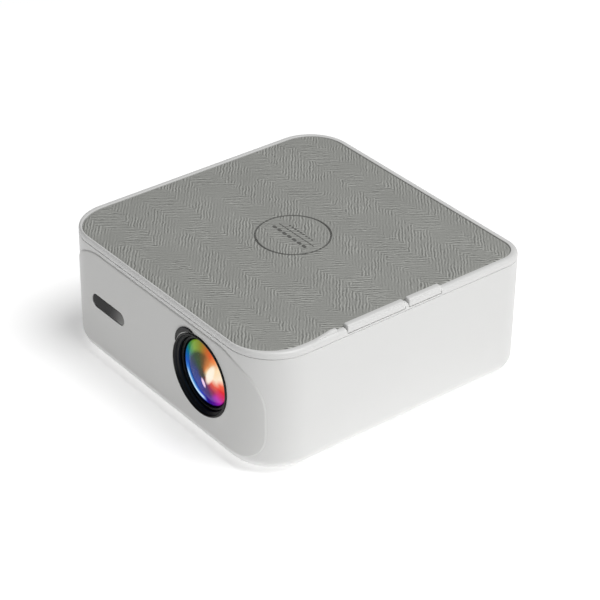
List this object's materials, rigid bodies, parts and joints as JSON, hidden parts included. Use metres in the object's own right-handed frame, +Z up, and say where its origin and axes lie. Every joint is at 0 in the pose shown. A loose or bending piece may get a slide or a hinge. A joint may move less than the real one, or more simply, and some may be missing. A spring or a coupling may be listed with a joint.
{
  "type": "home projector",
  "caption": "Low square home projector with a fabric-covered top, a focus ring and coated lens at the front right, rim keys, rear sockets and a screw-out front foot.",
  "frame": {"origin": "middle of the footprint, on the surface the rubber feet stand on", "axes": "+Z up, front face and lens looking along -Y, lens on the +X side"},
  "size_m": [0.22, 0.2198, 0.0955],
  "materials": {
    "casing_white": "satin moulded ABS",
    "panel_grey_white": "satin moulded ABS, a shade greyer",
    "grey_fabric": "woven chevron textile laminated on a stiff sheet",
    "black_plastic": "fine matt black",
    "smoked_window": "glossy smoked",
    "coated_glass": "multi-coated, rainbow reflections",
    "clear_plastic": "clear acrylic",
    "mirror": "front-surface mirror",
    "circuit_board": "green solder resist",
    "aluminium": "plain extruded",
    "steel": "plated",
    "dark_rubber": "matt",
    "filter_foam": "open-cell foam"
  },
  "bodies": {
    "casing": {"body_shell": "casing_white", "top_cover": "casing_white", "side_grille": "casing_white", "front_panel": "panel_grey_white", "base_plate": "panel_grey_white", "fabric_panel": "grey_fabric", "emblem_ring": "black_plastic", "ir_window": "smoked_window", "lens_sleeve": "black_plastic", "condenser_lens": "clear_plastic", "fresnel_rear": "clear_plastic", "fresnel_front": "clear_plastic", "lcd_panel": "smoked_window", "fold_mirror": "mirror", "engine_tray": "black_plastic", "engine_lid": "black_plastic", "led_module": "aluminium", "led_heatsink": "aluminium", "exhaust_fan_frame": "black_plastic", "blower_case": "black_plastic", "rear_panel": "black_plastic", "ac_inlet": "black_plastic", "hdmi_port_1": "steel", "hdmi_port_2": "steel", "usb_port_1": "steel", "usb_port_2": "steel", "av_jack": "black_plastic", "audio_jack": "black_plastic", "main_board": "circuit_board", "power_supply_board": "circuit_board", "key_board": "circuit_board", "ir_receiver_board": "circuit_board", "speaker_left": "black_plastic", "speaker_right": "black_plastic", "tripod_insert": "steel", "rubber_foot_1": "dark_rubber", "base_screw_1": "steel", "rubber_foot_2": "dark_rubber", "base_screw_2": "steel", "rubber_foot_3": "dark_rubber", "base_screw_3": "steel", "rubber_foot_4": "dark_rubber", "base_screw_4": "steel"},
    "focus_ring": {"focus_ring": "black_plastic"},
    "lens_cell": {"lens_barrel": "black_plastic", "front_lens": "coated_glass", "rear_lens": "clear_plastic"},
    "power_key": {"power_key": "casing_white"},
    "rocker_key": {"rocker_key": "casing_white"},
    "exhaust_rotor": {"exhaust_fan_rotor": "black_plastic"},
    "blower_rotor": {"blower_rotor": "black_plastic"},
    "filter": {"filter_cover": "casing_white", "dust_filter": "filter_foam"},
    "foot_wheel": {"foot_wheel": "black_plastic"},
    "foot_leg": {"foot_leg": "dark_rubber"}
  },
  "joints": [
    {"name": "focus_turn", "type": "hinge", "parent": "casing", "child": "focus_ring", "pos_m": [0.0463, -0.1083, 0.0521], "axis": [0, 1, 0], "range_deg": [-40, 40]},
    {"name": "focus_slide", "type": "slide", "parent": "casing", "child": "lens_cell", "axis": [0, 1, 0], "range_m": [-0.0024, 0.0024]},
    {"name": "power_press", "type": "slide", "parent": "casing", "child": "power_key", "axis": [0, 0, -1], "range_m": [0, 0.0005], "stiffness_N_per_m": 400, "springref_m": -0.001},
    {"name": "rocker_tilt", "type": "hinge", "parent": "casing", "child": "rocker_key", "pos_m": [0.1076, -0.0192, 0.0903], "axis": [1, 0, 0], "range_deg": [-1.1, 1.1], "stiffness_Nm_per_rad": 0.3},
    {"name": "exhaust_spin", "type": "hinge", "parent": "casing", "child": "exhaust_rotor", "pos_m": [-0.099, 0.0349, 0.0521], "axis": [1, 0, 0], "continuous": true},
    {"name": "blower_spin", "type": "hinge", "parent": "casing", "child": "blower_rotor", "pos_m": [0.0956, 0.0349, 0.0456], "axis": [1, 0, 0], "continuous": true},
    {"name": "filter_pull", "type": "slide", "parent": "casing", "child": "filter", "axis": [0, 1, 0], "range_m": [0, 0.02]},
    {"name": "foot_turn", "type": "hinge", "parent": "casing", "child": "foot_wheel", "pos_m": [0, -0.0683, 0.002], "axis": [0, 0, 1], "range_deg": [0, 1440]},
    {"name": "foot_extend", "type": "slide", "parent": "casing", "child": "foot_leg", "axis": [0, 0, -1], "range_m": [0, 0.012]}
  ],
  "couplings": [
    {"joint": "focus_turn", "follows": "focus_slide", "rad_per_m": 290.88},
    {"joint": "foot_turn", "follows": "foot_extend", "rad_per_m": 2094.3}
  ]
}
